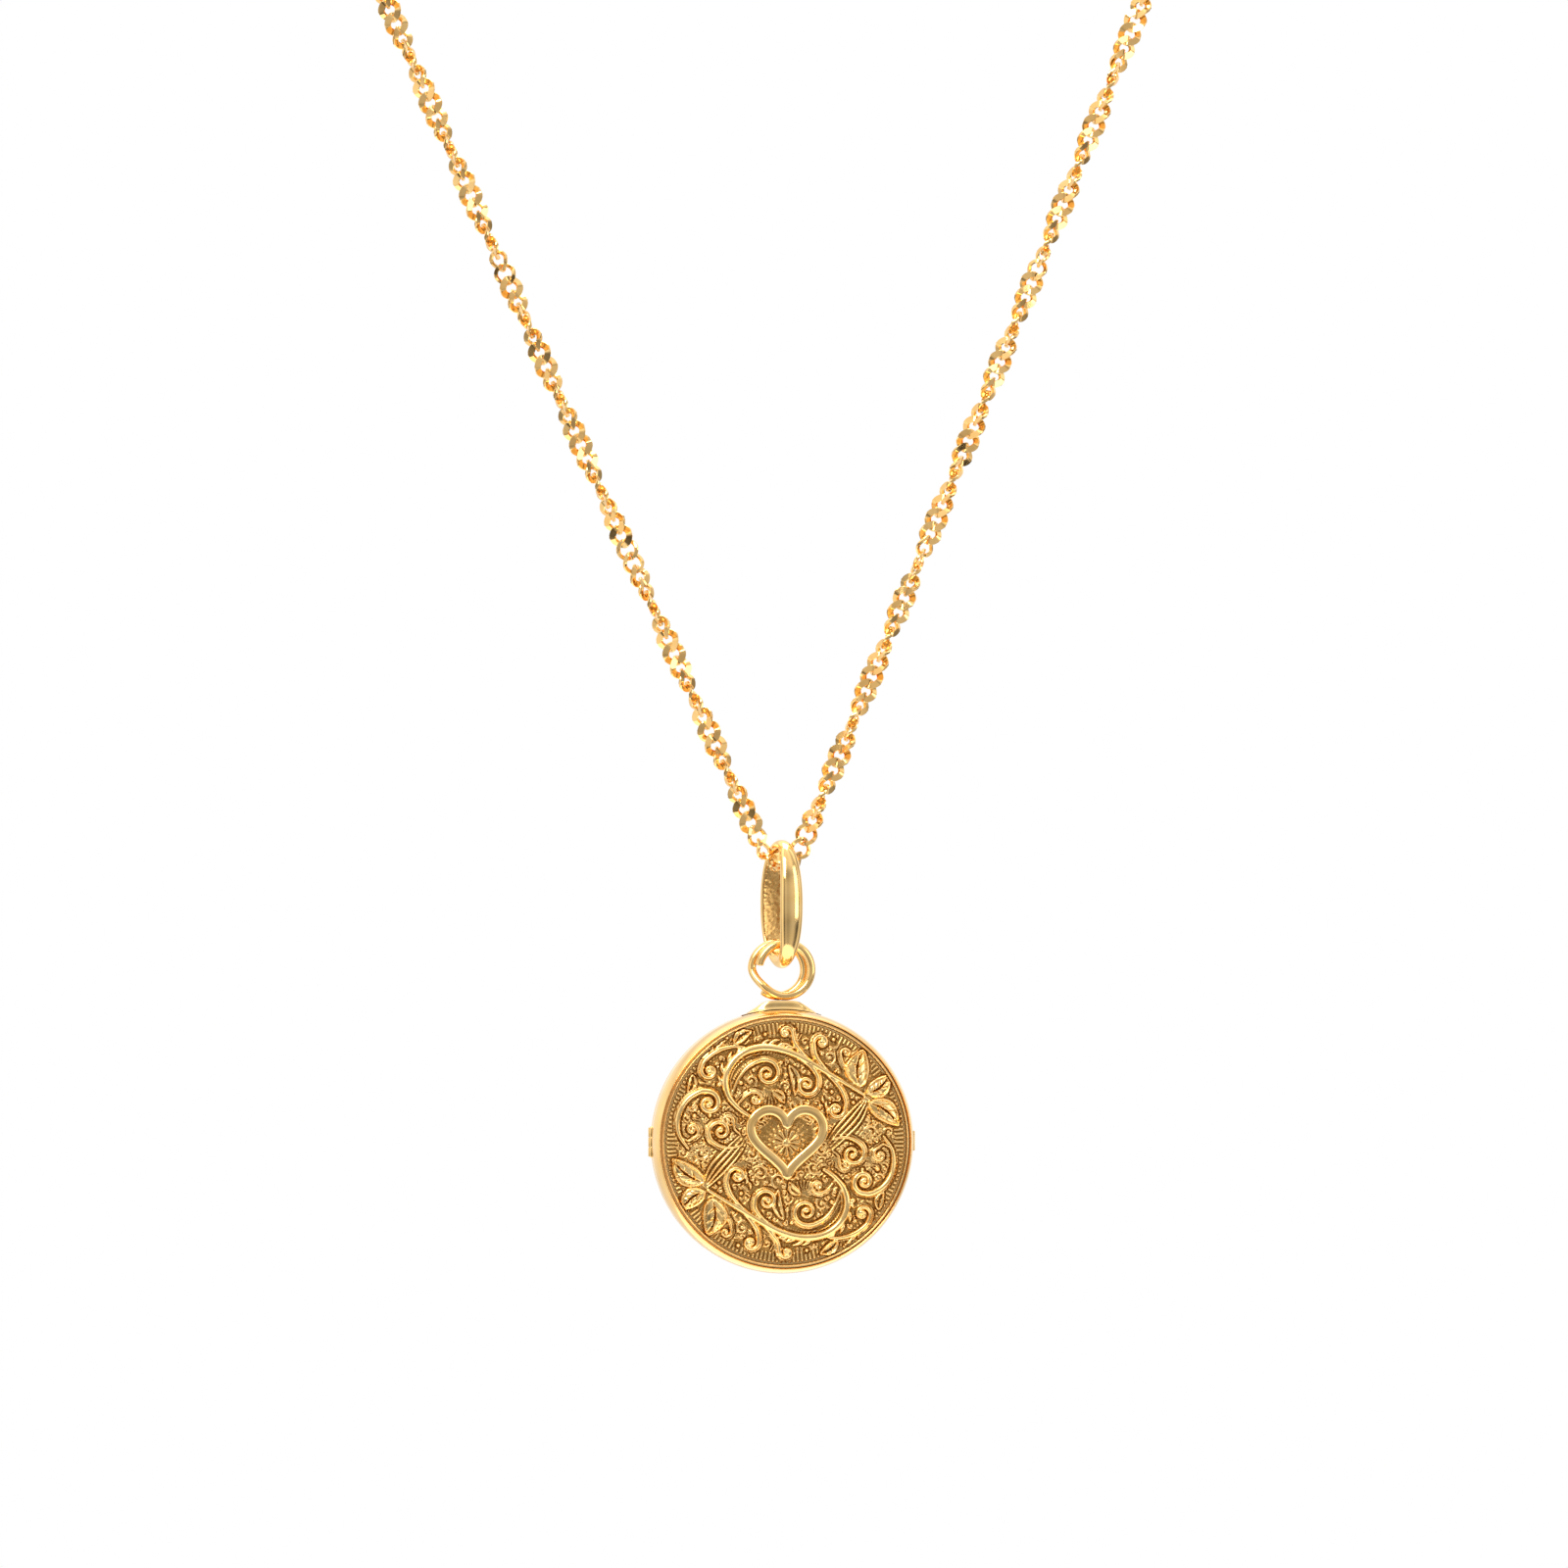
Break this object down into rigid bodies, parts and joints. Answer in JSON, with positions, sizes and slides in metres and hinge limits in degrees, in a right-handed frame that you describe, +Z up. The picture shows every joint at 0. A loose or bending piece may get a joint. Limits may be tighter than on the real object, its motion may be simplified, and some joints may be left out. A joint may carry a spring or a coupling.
{
  "type": "locket pendant",
  "caption": "Round hinged picture locket with an engraved domed front and raised open heart, hung by a double ring and oval bail from a V of fine twisted curb chain.",
  "frame": {"origin": "centre of the flat back face of the locket", "axes": "+Z up towards the ring as it hangs, +X to the viewer's right, the engraved front faces -Y"},
  "size_m": [0.0577, 0.005, 0.0919],
  "materials": {
    "gold_polished": "mirror polished yellow gold",
    "gold_engraved": "engraved and polished yellow gold",
    "gold_inner": "fine satin yellow gold",
    "gold_chain": "diamond-cut polished yellow gold",
    "picture_card": "blank ivory card",
    "clear_window": "clear"
  },
  "bodies": {
    "chain_centre": {"chain_links_centre": "gold_chain"},
    "bail": {"bail": "gold_polished"},
    "locket_back": {"back_cover": "gold_polished", "hinge_knuckle_back": "gold_polished", "hinge_pin": "gold_polished", "closing_lip": "gold_inner", "catch_pip": "gold_inner", "back_picture": "picture_card", "back_window": "clear_window", "back_picture_frame": "gold_inner", "ring_saddle": "gold_polished", "split_ring": "gold_polished"},
    "locket_front": {"front_cover": "gold_polished", "decorated_plate": "gold_engraved", "hinge_knuckle_front_upper": "gold_polished", "hinge_knuckle_front_lower": "gold_polished", "thumb_tab": "gold_polished", "front_picture": "picture_card", "front_window": "clear_window", "front_picture_frame": "gold_inner", "applied_heart": "gold_polished"},
    "chain_left_lower": {"chain_left_lower": "gold_chain"},
    "chain_left_middle": {"chain_left_middle": "gold_chain"},
    "chain_left_upper": {"chain_left_upper": "gold_chain", "chain_end_eye_left": "gold_polished"},
    "chain_right_lower": {"chain_right_lower": "gold_chain"},
    "chain_right_middle": {"chain_right_middle": "gold_chain"},
    "chain_right_upper": {"chain_right_upper": "gold_chain", "chain_end_eye_right": "gold_polished"}
  },
  "joints": [
    {"name": "bail_swing", "type": "hinge", "parent": "chain_centre", "child": "bail", "pos_m": [0, -0.00215, 0.0185], "axis": [0.9744, 0.225, 0], "range_deg": [-35, 35]},
    {"name": "locket_sway", "type": "hinge", "parent": "bail", "child": "locket_back", "pos_m": [0, -0.00215, 0.01168], "axis": [0, -1, 0], "range_deg": [-35, 35]},
    {"name": "cover_hinge", "type": "hinge", "parent": "locket_back", "child": "locket_front", "pos_m": [-0.0089, -0.00215, 0], "axis": [0, 0, -1], "range_deg": [0, 150]},
    {"name": "left_run_spread", "type": "hinge", "parent": "chain_centre", "child": "chain_left_lower", "pos_m": [-0.00153, -0.00215, 0.02035], "axis": [0, -1, 0], "range_deg": [-14, 60]},
    {"name": "left_run_drape_lower", "type": "hinge", "parent": "chain_left_lower", "child": "chain_left_middle", "pos_m": [-0.01039, -0.00215, 0.03977], "axis": [-0.9111, 0, -0.4122], "range_deg": [-30, 45]},
    {"name": "left_run_drape_upper", "type": "hinge", "parent": "chain_left_middle", "child": "chain_left_upper", "pos_m": [-0.01912, -0.00215, 0.05924], "axis": [-0.9139, 0, -0.4059], "range_deg": [-30, 45]},
    {"name": "right_run_spread", "type": "hinge", "parent": "chain_centre", "child": "chain_right_lower", "pos_m": [0.00151, -0.00215, 0.0204], "axis": [0, 1, 0], "range_deg": [-14, 60]},
    {"name": "right_run_drape_lower", "type": "hinge", "parent": "chain_right_lower", "child": "chain_right_middle", "pos_m": [0.00975, -0.00215, 0.04009], "axis": [-0.9242, 0, 0.382], "range_deg": [-30, 45]},
    {"name": "right_run_drape_upper", "type": "hinge", "parent": "chain_right_middle", "child": "chain_right_upper", "pos_m": [0.01781, -0.00215, 0.05984], "axis": [-0.9275, 0, 0.3738], "range_deg": [-30, 45]}
  ]
}
